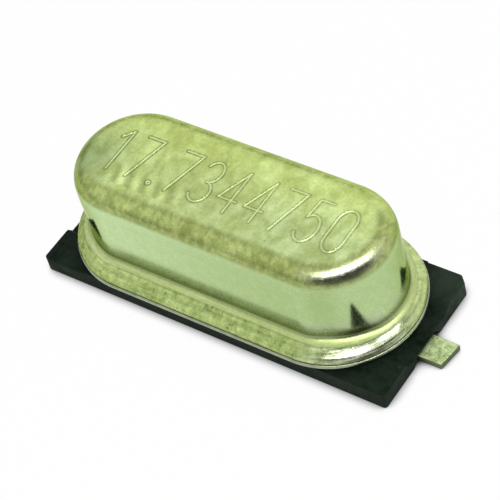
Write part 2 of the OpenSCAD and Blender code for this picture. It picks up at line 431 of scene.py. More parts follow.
def welded(points, faces, tolerance=1e-4):
    """Points with doubles taken out, the faces on them, and which old point each new one was."""
    keys = np.round(points / tolerance).astype(np.int64)
    _, first, index = np.unique(keys, axis=0, return_index=True, return_inverse=True)
    index = index.ravel()
    kept = []
    for face in faces:
        corners = list(dict.fromkeys(index[face].tolist()))
        if len(corners) > 2:
            kept.append(corners)
    return points[first], kept, first


def smooth_piece(mesh, sharp_angle):
    """Smooth-shaded object of a mesh, with its name."""
    mesh.shade_smooth()
    mesh.set_sharp_from_angle(angle=math.radians(sharp_angle))
    piece = bpy.data.objects.new(mesh.name, mesh)
    bpy.context.scene.collection.objects.link(piece)
    return piece


def new_piece(name, points, faces):
    """Smooth-shaded object from points in millimetres."""
    mesh = bpy.data.meshes.new(name)
    mesh.from_pydata((np.asarray(points) * MM).tolist(), [], faces)
    mesh.validate()
    return smooth_piece(mesh, SHARP_ANGLE)


def shell_piece(name, shell, sharp_angle):
    """Smooth-shaded object from a bmesh in metres, which is freed."""
    mesh = bpy.data.meshes.new(name)
    shell.to_mesh(mesh)
    shell.free()
    return smooth_piece(mesh, sharp_angle)


def mark_points(piece, name, values):
    """Writes a value for each point of a mesh, for its finish to read."""
    piece.data.attributes.new(name, "FLOAT", "POINT")
    piece.data.attributes[name].data.foreach_set("value", np.asarray(values, np.float32))


def smooth_step(low, high, value):
    """Zero before low, one past high and a smooth rise between; high may be the lesser."""
    share = np.clip((value - low) / (high - low), 0, 1)
    return share * share * (3 - 2 * share)


def bell(value, middle, width):
    """Smooth hump of height one."""
    return np.exp(-((value - middle) / width) ** 2)


# Engraved number

def arc(centre, reach, start, end, steps=28):
    """Points of an arc in a digit's box, with its angles in degrees."""
    angles = np.radians(np.linspace(start, end, steps))
    return [(centre[0] + reach[0] * math.cos(a), centre[1] + reach[1] * math.sin(a)) for a in angles]


def digit_strokes(character):
    """Strokes of a digit in a box one wide and one high."""
    if character == "0":
        round_top = arc((0.5, 0.72), (0.5, 0.28), 0, 180)
        round_foot = arc((0.5, 0.28), (0.5, 0.28), 180, 360)
        return [round_top + round_foot + round_top[:1]]
    if character == "1":
        return [[(0.2, 0.8), (0.66, 1), (0.66, 0)]]
    if character == "3":
        return [arc((0.48, 0.75), (0.46, 0.25), 155, -90) + arc((0.48, 0.25), (0.52, 0.25), 90, -155)]
    if character == "4":
        return [[(0.74, 0), (0.74, 1), (0, 0.3), (1, 0.3)]]
    if character == "5":
        return [[(0.92, 1), (0.2, 1), (0.1, 0.55)] + arc((0.46, 0.32), (0.54, 0.32), 132, -150)]
    if character == "7":
        return [[(0, 1), (1, 1), (0.34, 0)]]
    across = POINT_RADIUS / DIGIT_WIDTH
    up = POINT_RADIUS / DIGIT_HEIGHT
    return [arc((0.5, up), (across, up), 0, 360, 13)]


def stroke_distance(x, y, strokes):
    """Distance of each point from the nearest stroke."""
    nearest = np.full(len(x), np.inf)
    for stroke in strokes:
        for (ax, ay), (bx, by) in zip(stroke, stroke[1:]):
            run = max((bx - ax) ** 2 + (by - ay) ** 2, 1e-12)
            share = np.clip(((x - ax) * (bx - ax) + (y - ay) * (by - ay)) / run, 0, 1)
            gap = np.hypot(x - ax - share * (bx - ax), y - ay - share * (by - ay))
            nearest = np.minimum(nearest, gap)
    return nearest


def number_distance(x, y):
    """Distance of each point of the top from the engraved number's strokes."""
    nearest = np.full(len(x), np.inf)
    middle = FIRST_DIGIT_X
    for place, character in enumerate(NUMBER):
        if place:
            beside_point = "." in NUMBER[place - 1:place + 1]
            middle += POINT_PITCH if beside_point else DIGIT_PITCH
        left = middle - DIGIT_WIDTH / 2
        near = np.abs(x - middle) < DIGIT_WIDTH
        strokes = [
            [(left + DIGIT_WIDTH * u, NUMBER_Y + DIGIT_HEIGHT * v) for u, v in stroke]
            for stroke in digit_strokes(character)
        ]
        nearest[near] = np.minimum(nearest[near], stroke_distance(x[near], y[near], strokes))
    return nearest


def groove_height(gap):
    """Height of the top beside a stroke: a round-bottomed groove with a slight burr along it."""
    groove = np.where(gap < STROKE_HALF, -STROKE_DEPTH * (1 - (gap / STROKE_HALF) ** 2), 0)
    return groove + BURR_HEIGHT * bell(gap, 1.45 * STROKE_HALF, 0.4 * STROKE_HALF)


# Can

def outside_at(height):
    """Half width of the can's leaning outside wall at a height."""
    return WALL_HALF - WALL_LEAN * (height - LEDGE) / (CAN_TOP - LEDGE)


EDGE_MIDDLE = outside_at(ARC_LEVEL) - TOP_RADIUS / math.cos(WALL_ANGLE)


def can_ring(straight, half, height, neck=0.0, **marks):
    """One ring of the can's skin, how far it is necked in, and its share of each zone of the finish."""
    return {"straight": straight, "half": half, "height": height, "neck": neck, "marks": marks}


def inside_rings():
    """The can's hollow, from the middle of its ceiling down to its mouth."""
    radius = TOP_RADIUS - WALL_THICKNESS
    middle = outside_at(ARC_LEVEL) - WALL_ACROSS - radius
    rings = [can_ring(WALL_STRAIGHT, 0, CAN_TOP - WALL_THICKNESS)]
    for a in np.linspace(math.pi / 2, 0, 5):
        half = middle + radius * math.cos(a)
        rings.append(can_ring(WALL_STRAIGHT, half, ARC_LEVEL + radius * math.sin(a)))
    rings.append(can_ring(WALL_STRAIGHT, outside_at(WELD_LEVEL) - WALL_ACROSS, WELD_LEVEL))
    return rings


def rim_rings():
    """The flange, from its underside round the rim and up its rounded slope to the crease."""
    rings = []
    for a in np.linspace(-math.pi / 2, 0, 6):
        half = RIM_HALF - SEAM_RADIUS + SEAM_RADIUS * math.cos(a)
        height = WELD_LEVEL + SEAM_RADIUS * (1 + math.sin(a))
        rings.append(can_ring(RIM_STRAIGHT, half, height, rim=1, seam=1))
    reach = RIM_HALF - CREASE_HALF
    drop = CREASE_LEVEL - WELD_LEVEL - SEAM_RADIUS
    shares = np.linspace(0, 1, 200)
    slope = np.tan(np.radians(RIM_SLOPE + RIM_BEND * shares + RIM_ROUND * smooth_step(0.68, 1, shares)))
    fall = np.concatenate([[0], np.cumsum((slope[1:] + slope[:-1]) / 2)])
    for share in RIM_SHARES:
        out = reach * share
        straight = WALL_STRAIGHT + (RIM_STRAIGHT - WALL_STRAIGHT) * share
        height = CREASE_LEVEL - drop * float(np.interp(share, shares, fall / fall[-1]))
        # The dark line down the rim's slope is painted shade
        marks = {"rim": 1, "bare": 1, "seam": 0.35 * bell(out, 0, 0.02), "line": 0.9 * bell(out, 0.16, 0.05)}
        rings.append(can_ring(straight, CREASE_HALF + out, height, **marks))
    return rings


def wall_rings():
    """The hollow at the wall's foot and the wall, drawn in a little above it."""
    foot_level = CREASE_LEVEL + FOOT_RISE * math.sin(FOOT_TURN)
    wall_half = CREASE_HALF - FOOT_REACH * (1 - math.cos(FOOT_TURN))
    rings = []
    for a in np.linspace(FOOT_TURN, 0, 10)[1:]:
        half = wall_half + FOOT_REACH * (1 - math.cos(a))
        height = foot_level - FOOT_RISE * math.sin(a)
        neck = NECK_DEPTH * (1 - (1 - math.cos(a)) / (1 - math.cos(FOOT_TURN)))
        marks = {"foot": smooth_step(0, 0.45, a), "low": 1, "dull": 1}
        # Painted shade: a dark line and a dark crease at the wall's foot
        marks["line"] = 1.6 * bell(a, 0.15, 0.35)
        marks["crease_shade"] = bell(a, 0, 0.45)
        rings.append(can_ring(WALL_STRAIGHT, half, height, neck, **marks))
    close_levels = foot_level + np.array([0.08, 0.16, 0.24, 0.32])
    for height in np.concatenate([close_levels, np.linspace(WALL_STEPS_FROM, ARC_LEVEL, 11)[:-1]]):
        share = (ARC_LEVEL - height) / (ARC_LEVEL - foot_level)
        half = outside_at(height) + (wall_half - outside_at(foot_level)) * share ** 2
        drawn = np.clip((NECK_TOP - height) / (NECK_TOP - NECK_LEVEL), 0, 1) ** NECK_SKEW
        neck = NECK_DEPTH * smooth_step(0, 1, drawn)
        low = smooth_step(foot_level + 0.70, foot_level + 0.15, height)
        marks = {"low": low, "dull": low}
        # Painted shade: a dark line and a dark crease at the wall's foot
        marks["line"] = 1.3 * bell(height, foot_level + 0.04, 0.11)
        marks["crease_shade"] = bell(height, foot_level, 0.19)
        rings.append(can_ring(WALL_STRAIGHT, half, height, neck, **marks))
    return rings


def edge_rings():
    """The rounded top edge, from the wall up to the flat top."""
    rings = []
    for a in np.linspace(WALL_ANGLE, math.radians(88), 22):
        half = EDGE_MIDDLE + TOP_RADIUS * math.cos(a)
        height = ARC_LEVEL + TOP_RADIUS * math.sin(a)
        turned = math.degrees(a)
        marks = {"satin": smooth_step(5, 30, turned)}
        marks["edge"] = smooth_step(13, 24, turned) * smooth_step(80, 66, turned)
        # The dark lines along the edge and the dark band under its highlight are painted shade
        marks["line"] = 0.8 * bell(turned, 20, 6) + 0.8 * bell(turned, 68, 8)
        marks["bare"] = bell(turned, 46, 14)
        marks["shade"] = bell(turned, 31, 6)
        rings.append(can_ring(WALL_STRAIGHT, half, height, **marks))
    return rings


def top_relief(x, y, inset):
    """Small unevenness of the drawn top: a dished border, ripples near one corner and a faint swell."""
    border = -0.002 * bell(inset, 0.10, 0.09)
    swell = 0.003 * np.sin(1.9 * x + 0.6) * np.cos(2.3 * y - 0.8) * smooth_step(0, 0.3, inset)
    return border + swell + 0.004 * ripples(x, y) * smooth_step(0.02, 0.14, inset)


def ripples(x, y):
    """Row of soft waves across the top near its front left corner."""
    zone = smooth_step(-3.9, -3.1, x) * smooth_step(-0.4, -1.5, x) * smooth_step(-0.35, -0.8, y)
    return zone * np.sin(2 * math.pi * (x + 0.3 * y) / RIPPLE_LENGTH)


def zone_shares(places):
    """How strongly some zones of the finish show at each place around the outline.

    The rounded edge and the dark lines are painted shade on the front only. The cast is worn off the front
    of the right end, with painted shade under its highlight and in its crease. The foot of the wall is dull,
    and less so at one corner of each end.
    """
    along, turn = places
    turned = np.degrees(turn)
    front = smooth_step(-0.35, 0.35, np.cos(turn - math.radians(FRONT_TURN)))
    wear_and_painted_light = (along == 1) * bell(turned, WORN_AND_SHADED_TURN, WORN_AND_SHADED_WIDTH)
    crease_shade_share = (along == 1) * bell(turned, CREASE_SHADE_TURN, CREASE_SHADE_WIDTH)
    bright = sum(bell(turned, middle, width) for middle, width in BRIGHT_CORNERS)
    dull = 1 - 0.9 * np.clip(bright, 0, 1)
    return {"edge": front, "line": front, "bare": wear_and_painted_light, "shade": wear_and_painted_light, "dull": dull, "crease_shade": crease_shade_share}


def neck_share(places):
    """How far the can is necked in: fully at the front corner of the right end, and less at the left end."""
    turned = np.degrees(places[1])
    left_end = smooth_step(90, 118, turned) * smooth_step(270, 242, turned)
    front_corner = smooth_step(-90, -64, turned) * smooth_step(-16, -44, turned)
    return LEFT_END_NECK * left_end + front_corner


def run_direction(places):
    """Direction around the outline."""
    turn = places[1]
    return np.stack([-np.sin(turn), np.cos(turn), np.zeros(len(turn))], axis=1)


def top_ring(places, half):
    """Points of one ring of the engraved top, and its share of each zone of the finish."""
    points = ring(places, WALL_STRAIGHT, half, CAN_TOP)
    x = points[:, 0]
    y = points[:, 1]
    gap = number_distance(x, y)
    points[:, 2] += groove_height(gap) + top_relief(x, y, EDGE_MIDDLE - half)
    marks = {
        "satin": np.ones(len(points)),
        "cut": 1 - smooth_step(0.35 * STROKE_HALF, STROKE_HALF, gap),
        "lip": bell(gap, 1.6 * STROKE_HALF, 0.75 * STROKE_HALF),
        "ripple": ripples(x, y),
    }
    return points, marks


def make_can():
    """Drawn can: its hollow, rim, wall and rounded edge in coarse rings, its engraved top in fine ones."""
    skin = inside_rings() + rim_rings() + wall_rings() + edge_rings()
    coarse = stations(STRAIGHT_STEPS // 2, ARC_STEPS // 2)
    fine = stations(STRAIGHT_STEPS, ARC_STEPS)
    coarse_count = len(coarse[0])
    fine_count = len(fine[0])
    necked = neck_share(coarse)
    shares = zone_shares(coarse)
    everywhere = np.ones(coarse_count)
    points = [ring(coarse, r["straight"], r["half"] - r["neck"] * necked, r["height"]) for r in skin]
    marks = {}
    for zone in CAN_ZONES:
        share = shares.get(zone, everywhere)
        marks[zone] = [r["marks"].get(zone, 0) * share for r in skin]
    runs = [run_direction(coarse) for _ in skin]
    faces = []
    for step in range(len(skin) - 1):
        faces.extend(band_faces(step * coarse_count, (step + 1) * coarse_count, coarse_count))
    fine_start = len(skin) * coarse_count
    faces.extend(stitch_faces(fine_start - coarse_count, fine_start, coarse_count))
    border_halves = np.linspace(EDGE_MIDDLE, FINE_TOP_HALF, TOP_BORDER_STEPS, endpoint=False)
    halves = np.concatenate([border_halves, np.linspace(FINE_TOP_HALF, 0, FINE_TOP_STEPS)])
    for step, half in enumerate(halves):
        top_points, top_marks = top_ring(fine, half)
        points.append(top_points)
        for zone in CAN_ZONES:
            marks[zone].append(top_marks.get(zone, np.zeros(fine_count)))
        runs.append(run_direction(fine))
        if step:
            start = fine_start + (step - 1) * fine_count
            faces.extend(band_faces(start, start + fine_count, fine_count))
    points, faces, kept = welded(np.concatenate(points), faces)
    piece = new_piece("drawn_can", points, faces)
    for zone in CAN_ZONES:
        mark_points(piece, zone, np.concatenate(marks[zone])[kept])
    run = piece.data.attributes.new("run", "FLOAT_VECTOR", "POINT")
    run.data.foreach_set("vector", np.concatenate(runs)[kept].ravel())
    return piece


# Base

def base_rings():
    """Outlines of the base, from its boss round the flange up to its plug."""
    boss_half = outside_at(WELD_LEVEL) - WALL_ACROSS - PLUG_CLEARANCE
    flange_low = WELD_LEVEL - BASE_FLANGE_THICKNESS
    rings = [(WALL_STRAIGHT, boss_half, PLATE_TOP), (WALL_STRAIGHT, boss_half, flange_low)]
    bends = [(flange_low + BASE_EDGE, -math.pi / 2, 0), (WELD_LEVEL - BASE_EDGE, 0, math.pi / 2)]
    for level, start, end in bends:
        for a in np.linspace(start, end, 5):
            half = BASE_HALF - BASE_EDGE + BASE_EDGE * math.cos(a)
            rings.append((RIM_STRAIGHT, half, level + BASE_EDGE * math.sin(a)))
    return rings + [(WALL_STRAIGHT, boss_half, WELD_LEVEL), (WALL_STRAIGHT, boss_half, PLUG_TOP)]


def make_base():
    """Stamped base: a plug in the can's mouth, a thin flange under its rim, and two holes for the seals."""
    rings = base_rings()
    places = stations(STRAIGHT_STEPS // 4, ARC_STEPS // 2)
    count = len(places[0])
    points = np.concatenate([ring(places, *entry) for entry in rings])
    shell = bmesh.new()
    corners = [shell.verts.new(point * MM) for point in points]
    for step in range(len(rings) - 1):
        for face in band_faces(step * count, (step + 1) * count, count):
            shell.faces.new([corners[i] for i in face])
    loops = {PLATE_TOP: [corners[:count]], PLUG_TOP: [corners[-count:]]}
    turns = np.linspace(0, 2 * math.pi, HOLE_STEPS, endpoint=False)
    for side in (-1, 1):
        for level in loops:
            middle = Vector((side * PIN_X, 0, level))
            spokes = [Vector((math.cos(a), math.sin(a), 0)) * SEAL_RADIUS for a in turns]
            loops[level].append([shell.verts.new((middle + spoke) * MM) for spoke in spokes])
        low = loops[PLATE_TOP][-1]
        high = loops[PLUG_TOP][-1]
        for i in range(HOLE_STEPS):
            after = (i + 1) % HOLE_STEPS
            shell.faces.new([low[after], low[i], high[i], high[after]])
    for level_loops in loops.values():
        edges = []
        for loop in level_loops:
            for i, corner in enumerate(loop):
                pair = (corner, loop[(i + 1) % len(loop)])
                edges.append(shell.edges.get(pair) or shell.edges.new(pair))
        bmesh.ops.triangle_fill(shell, use_beauty=True, edges=edges)
    bmesh.ops.recalc_face_normals(shell, faces=shell.faces)
    return shell_piece("stamped_base", shell, SHARP_ANGLE)


# Pieces that keep the CAD mesh and get broken edges

def softened_copy(node, name, edge, sharp_angle=30, segments=3):
    """Copy of a CAD node with its hard edges rounded off."""
    shell = bmesh.new()
    shell.from_mesh(nodes[node].data)
    bmesh.ops.remove_doubles(shell, verts=shell.verts, dist=1e-4 * MM)
    bmesh.ops.dissolve_limit(
        shell, angle_limit=math.radians(0.5), verts=shell.verts, edges=shell.edges, delimit=set())
    limit = math.radians(sharp_angle)
    hard = [e for e in shell.edges if len(e.link_faces) == 2 and e.calc_face_angle(0) > limit]
    bmesh.ops.bevel(
        shell, geom=hard, offset=edge * MM, offset_type="OFFSET", segments=segments, profile=0.5,
        affect="EDGES", clamp_overlap=True)
    low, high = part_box(node)
    for corner in shell.verts:
        corner.co = [min(max(place, least), most) for place, least, most in zip(corner.co, low, high)]
    piece = shell_piece(name, shell, SOFTENED_SHARP_ANGLE)
    flat = piece.modifiers.new("flat faces", "WEIGHTED_NORMAL")
    flat.weight = 100
    flat.keep_sharp = True
    return piece


# Finishes: shared effects

def effect(name, inputs, output):
    """Shader node group with number inputs and one output."""
    tree = bpy.data.node_groups.new(name, "ShaderNodeTree")
    for label, value in inputs.items():
        socket = tree.interface.new_socket(label, in_out="INPUT", socket_type="NodeSocketFloat")
        socket.default_value = value
    tree.interface.new_socket(output, in_out="OUTPUT", socket_type="NodeSocketFloat")
    return tree, tree.nodes.new("NodeGroupInput").outputs, tree.nodes.new("NodeGroupOutput").inputs


def position(tree):
    """Place on the object, in millimetres."""
    place = tree.nodes.new("ShaderNodeTexCoord")
    return scaled(tree, place.outputs["Object"], 1 / MM)


def scaled(tree, vector, factor):
    """Vector times a factor, which is a number or a link."""
    scale = tree.nodes.new("ShaderNodeVectorMath")
    scale.operation = "SCALE"
    tree.links.new(vector, scale.inputs[0])
    feed(tree, scale.inputs["Scale"], factor)
    return scale.outputs["Vector"]


def place_in_steps(tree, size):
    """Place on the object, counted in steps of a size that comes from a group's input."""
    return scaled(tree, position(tree), math_node(tree, "DIVIDE", 1.0, size))


def noise(tree, vector, detail, roughness, distortion=0.0):
    """Cloudy noise with one cloud to a step of its vector."""
    node = tree.nodes.new("ShaderNodeTexNoise")
    node.inputs["Scale"].default_value = 1
    node.inputs["Detail"].default_value = detail
    node.inputs["Roughness"].default_value = roughness
    node.inputs["Distortion"].default_value = distortion
    tree.links.new(vector, node.inputs["Vector"])
    return node.outputs["Fac"]


def combined(tree, x, y, z):
    """Vector of three parts, each a number or a link."""
    node = tree.nodes.new("ShaderNodeCombineXYZ")
    for socket, value in zip(node.inputs, (x, y, z)):
        feed(tree, socket, value)
    return node.outputs["Vector"]


def mottle_effect():
    """Soft cloudy blotches of tarnish."""
    tree, entry, leave = effect("mottle", {"Blotch Size": 0.5, "Stretch": 1.0}, "Mask")
    place = tree.nodes.new("ShaderNodeVectorMath")
    place.operation = "DIVIDE"
    tree.links.new(place_in_steps(tree, entry["Blotch Size"]), place.inputs[0])
    tree.links.new(combined(tree, 1, entry["Stretch"], 1), place.inputs[1])
    cloud = noise(tree, place.outputs["Vector"], 3, 0.55, 0.4)
    tree.links.new(ranged(tree, cloud, 0.3, 0.7), leave["Mask"])
    return tree


def grain_effect():
    """Fine even grain of a blasted or moulded surface."""
    tree, entry, leave = effect("grain", {"Grain Size": 0.05}, "Height")
    tree.links.new(noise(tree, place_in_steps(tree, entry["Grain Size"]), 3, 0.65), leave["Height"])
    return tree


def past_straight(tree, x, left_end, right_end):
    """How far a place is past the straight part of the outline, into either round end."""
    kept = math_node(tree, "MAXIMUM", math_node(tree, "MINIMUM", x, right_end), left_end)
    return math_node(tree, "SUBTRACT", x, kept)


def run_lines_effect():
    """Fine lines that run around the can, level with its rim."""
    inputs = {"Line Spacing": 0.03, "Line Length": 1.2, "Half Straight": LINES_STRAIGHT}
    tree, entry, leave = effect("run_lines", inputs, "Mask")
    x, y, z = split_vector(tree, position(tree))
    straight = entry["Half Straight"]
    past = past_straight(tree, x, times(tree, straight, -1.0), straight)
    square = math_node(tree, "ADD", times(tree, past, past), times(tree, y, y))
    outward = math_node(tree, "DIVIDE", math_node(tree, "SQRT", square), entry["Line Spacing"])
    down = math_node(tree, "DIVIDE", z, entry["Line Spacing"])
    across = math_node(tree, "ADD", outward, down)
    along = [math_node(tree, "DIVIDE", part, entry["Line Length"]) for part in (x, y)]
    lines = noise(tree, combined(tree, across, *along), 2, 0.6)
    tree.links.new(ranged(tree, lines, 0.3, 0.7), leave["Mask"])
    return tree


def specks_effect():
    """Scattered tiny specks and pits."""
    tree, entry, leave = effect("specks", {"Speck Spacing": 0.5, "Speck Radius": 0.05}, "Mask")
    cells = tree.nodes.new("ShaderNodeTexVoronoi")
    cells.inputs["Scale"].default_value = 1
    tree.links.new(place_in_steps(tree, entry["Speck Spacing"]), cells.inputs["Vector"])
    draw, size, _ = split_vector(tree, cells.outputs["Color"])
    chance = math_node(tree, "GREATER_THAN", draw, 0.6)
    reach = times(tree, entry["Speck Radius"], math_node(tree, "ADD", size, 0.4))
    inside = math_node(tree, "LESS_THAN", cells.outputs["Distance"], reach)
    tree.links.new(times(tree, inside, chance), leave["Mask"])
    return tree


EFFECTS = {
    "mottle": mottle_effect(),
    "grain": grain_effect(),
    "run_lines": run_lines_effect(),
    "specks": specks_effect(),
}


def placed(tree, name, **sizes):
    """Puts a shared effect into a finish with its own sizes and gives its output."""
    node = tree.nodes.new("ShaderNodeGroup")
    node.node_tree = EFFECTS[name]
    for label, value in sizes.items():
        node.inputs[label.replace("_", " ").title()].default_value = value
    return node.outputs[0]


# Finishes: one for each material of the record

def new_finish(name):
    """New material, its node tree and its surface."""
    finish = bpy.data.materials.new(name)
    finish.use_nodes = True
    return finish, finish.node_tree, finish.node_tree.nodes["Principled BSDF"]


def blended(tree, share, first, second, mode="MIX"):
    """Mix of two colours, each a plain colour or a link."""
    node = tree.nodes.new("ShaderNodeMix")
    node.data_type = "RGBA"
    node.blend_type = mode
    sockets = [s for s in node.inputs if s.type == "RGBA"]
    for socket, value in zip(sockets, (first, second)):
        linked = isinstance(value, bpy.types.NodeSocket)
        feed(tree, socket, value if linked else (*value, 1))
    feed(tree, node.inputs["Factor"], share)
    return next(s for s in node.outputs if s.type == "RGBA")


def tinted(tree, colour, mask, amount, tint):
    """Colour with a tint over it where a mask is; the amount is the tint's share there."""
    return blended(tree, times(tree, mask, amount), colour, tint)


def point_mark(tree, name):
    """Value written on the mesh's points."""
    node = tree.nodes.new("ShaderNodeAttribute")
    node.attribute_name = name
    return node.outputs["Fac"]


def bumped(tree, surface, height, distance):
    """Bump of a height in millimetres."""
    bump = tree.nodes.new("ShaderNodeBump")
    bump.inputs["Distance"].default_value = distance * MM
    bump.inputs["Strength"].default_value = 1
    tree.links.new(height, bump.inputs["Height"])
    tree.links.new(bump.outputs["Normal"], surface.inputs["Normal"])


def can_patterns(tree):
    """Patterns of the can's plating, from broad clouds to fine grain, in millimetres."""
    patterns = {"grain": placed(tree, "grain", grain_size=0.03)}
    for name, size, stretch in (
        ("cloud", 1.5, 1.2), ("patches", 0.55, 1.3), ("haze", 0.28, 0.6), ("strokes", 0.17, 1.9),
        ("blotch", 0.08, 1.0), ("dust", 0.05, 1.0),
    ):
        patterns[name] = placed(tree, "mottle", blotch_size=size, stretch=stretch)
    for name, spacing, length in (("lines", 0.03, 1.3), ("streaks", 0.075, 2.2)):
        patterns[name] = placed(tree, "run_lines", line_spacing=spacing, line_length=length)
    for name, spacing, radius in (("pits", 0.5, 0.05), ("glints", 0.07, 0.2), ("flecks", 0.10, 0.40)):
        patterns[name] = placed(tree, "specks", speck_spacing=spacing, speck_radius=radius)
    return patterns


def end_turn(tree, x, y):
    """How far a place is turned around the can's round ends, in degrees; 0 is the right end's tip."""
    past = past_straight(tree, x, -WALL_STRAIGHT, WALL_STRAIGHT)
    return times(tree, math_node(tree, "ARCTAN2", y, past), math.degrees(1))


def can_zone_colours(tree, mark, pattern, x, y):
    """Colours of the can: satin top, wall, rounded edge, foot and rim, with painted shade on the wall and
    the edge.
    """
    turned = end_turn(tree, x, y)
    lines = pattern["lines"]
    top = blended(tree, ranged(tree, x, -2.0, 3.5), (0.49, 0.595, 0.23), (0.51, 0.63, 0.275))
    top = blended(tree, ranged(tree, x, -2.9, -4.2, 0, 0.85), top, (0.36, 0.465, 0.21))
    top = blended(tree, ranged(tree, y, -0.6, 1.3), top, (0.60, 0.73, 0.255))
    # Painted shade: the wall darkens from the left end to the right, most near the right end's front corner
    wall = blended(tree, ranged(tree, x, -4.5, 2.8), (0.61, 0.77, 0.45), (0.455, 0.595, 0.293))
    corner = math_node(tree, "ABSOLUTE", math_node(tree, "SUBTRACT", turned, SHADED_TURN))
    wall = blended(tree, ranged(tree, corner, SHADED_WIDTH, 2, 0, 0.6), wall, (0.36, 0.48, 0.20))
    wall = blended(tree, mark["low"], wall, (0.49, 0.57, 0.36))
    # Painted shade: the rounded edge is darker olive, and only on the front side
    edge = blended(tree, pattern["strokes"], (0.32, 0.40, 0.125), (0.45, 0.53, 0.18))
    # Painted glints on the rounded edge
    sparkle = times(tree, pattern["glints"], ranged(tree, pattern["patches"], 0.45, 0.8))
    edge = tinted(tree, edge, sparkle, 0.7, (0.75, 0.80, 0.45))
    foot = blended(tree, lines, (0.43, 0.515, 0.21), (0.54, 0.635, 0.29))
    rim = blended(tree, lines, (0.34, 0.44, 0.145), (0.52, 0.64, 0.245))
    rim = blended(tree, ranged(tree, turned, 5, 42, 0, 0.8), rim, (0.60, 0.71, 0.33))
    colour = blended(tree, mark["satin"], wall, top)
    for zone, zone_colour in (("edge", edge), ("foot", foot), ("rim", rim)):
        colour = blended(tree, mark[zone], colour, zone_colour)
    return tinted(tree, colour, mark["bare"], 0.75, (0.60, 0.61, 0.56))


def can_tarnish(tree, colour, mark, pattern):
    """Colour of the can made lighter and darker by the patterns of its plating, and by painted light and
    shade along its ripples.
    """
    outside = math_node(tree, "MAXIMUM", mark["rim"], mark["foot"])
    covered = math_node(tree, "MAXIMUM", mark["satin"], outside)
    wall = math_node(tree, "SUBTRACT", 1.0, covered)
    ripple_light_and_shade = ranged(tree, mark["ripple"], -1, 1, kind="LINEAR")
    flat = math_node(tree, "SUBTRACT", mark["satin"], times(tree, mark["edge"], 0.6))
    for mask, dark, light, share in (
        (pattern["cloud"], (0.93, 0.93, 0.91), (1.07, 1.07, 1.09), mark["satin"]),
        (pattern["patches"], (0.82, 0.81, 0.69), (1.14, 1.14, 1.22), flat),
        (pattern["strokes"], (0.92, 0.92, 0.91), (1.08, 1.08, 1.09), mark["satin"]),
        (pattern["strokes"], (0.76, 0.79, 0.71), (1.24, 1.22, 1.29), mark["rim"]),
        # Painted light and shade along the ripples of the top
        (ripple_light_and_shade, (0.74, 0.77, 0.74), (1.26, 1.23, 1.30), mark["satin"]),
        (pattern["haze"], (0.965, 0.97, 0.94), (1.03, 1.025, 1.05), wall),
        (pattern["dust"], (0.93, 0.93, 0.91), (1.05, 1.05, 1.06), wall),
        (pattern["blotch"], (0.92, 0.93, 0.90), (1.08, 1.07, 1.09), covered),
    ):
        colour = blended(tree, share, colour, blended(tree, mask, dark, light), "MULTIPLY")
    return colour


def can_wear(tree, colour, mark, pattern, x):
    """Colour of the can with painted shade in dark lines, under the highlight and in the crease, the
    engraving, the dark seam, pits, flecks and painted glints.
    """
    # Painted shade: dark lines on the front side, and a dark band under the highlight at the right end
    colour = tinted(tree, colour, mark["line"], 0.34, (0.16, 0.19, 0.07))
    colour = tinted(tree, colour, mark["shade"], 0.7, (0.06, 0.06, 0.05))
    worked = ranged(tree, pattern["blotch"], 0.2, 0.75, 0.2, 0.7)
    worked = math_node(tree, "ADD", worked, ranged(tree, x, 1.5, -3.0, 0, 0.3))
    wear_and_painted_light = times(tree, mark["rim"], ranged(tree, pattern["patches"], 0.25, 0.7, 0.1, 0.6))
    for mask, amount, tint in (
        (mark["lip"], worked, (0.13, 0.17, 0.05)),
        (mark["cut"], 0.7, (0.72, 0.80, 0.42)),
        # The seam under the rim is dark, and its dark line at the crease is painted shade
        (mark["seam"], 0.7, (0.05, 0.06, 0.03)),
        (pattern["pits"], 0.6, (0.12, 0.14, 0.06)),
        # Real dark flecks on the worn rim, and painted glints beside them
        (pattern["flecks"], wear_and_painted_light, (0.17, 0.20, 0.07)),
        (pattern["glints"], wear_and_painted_light, (0.75, 0.82, 0.45)),
        # Painted shade: a near-black crease at the foot of the right end's front corner
        (mark["crease_shade"], 0.95, (0.04, 0.05, 0.03)),
    ):
        colour = tinted(tree, colour, mask, amount, tint)
    return colour


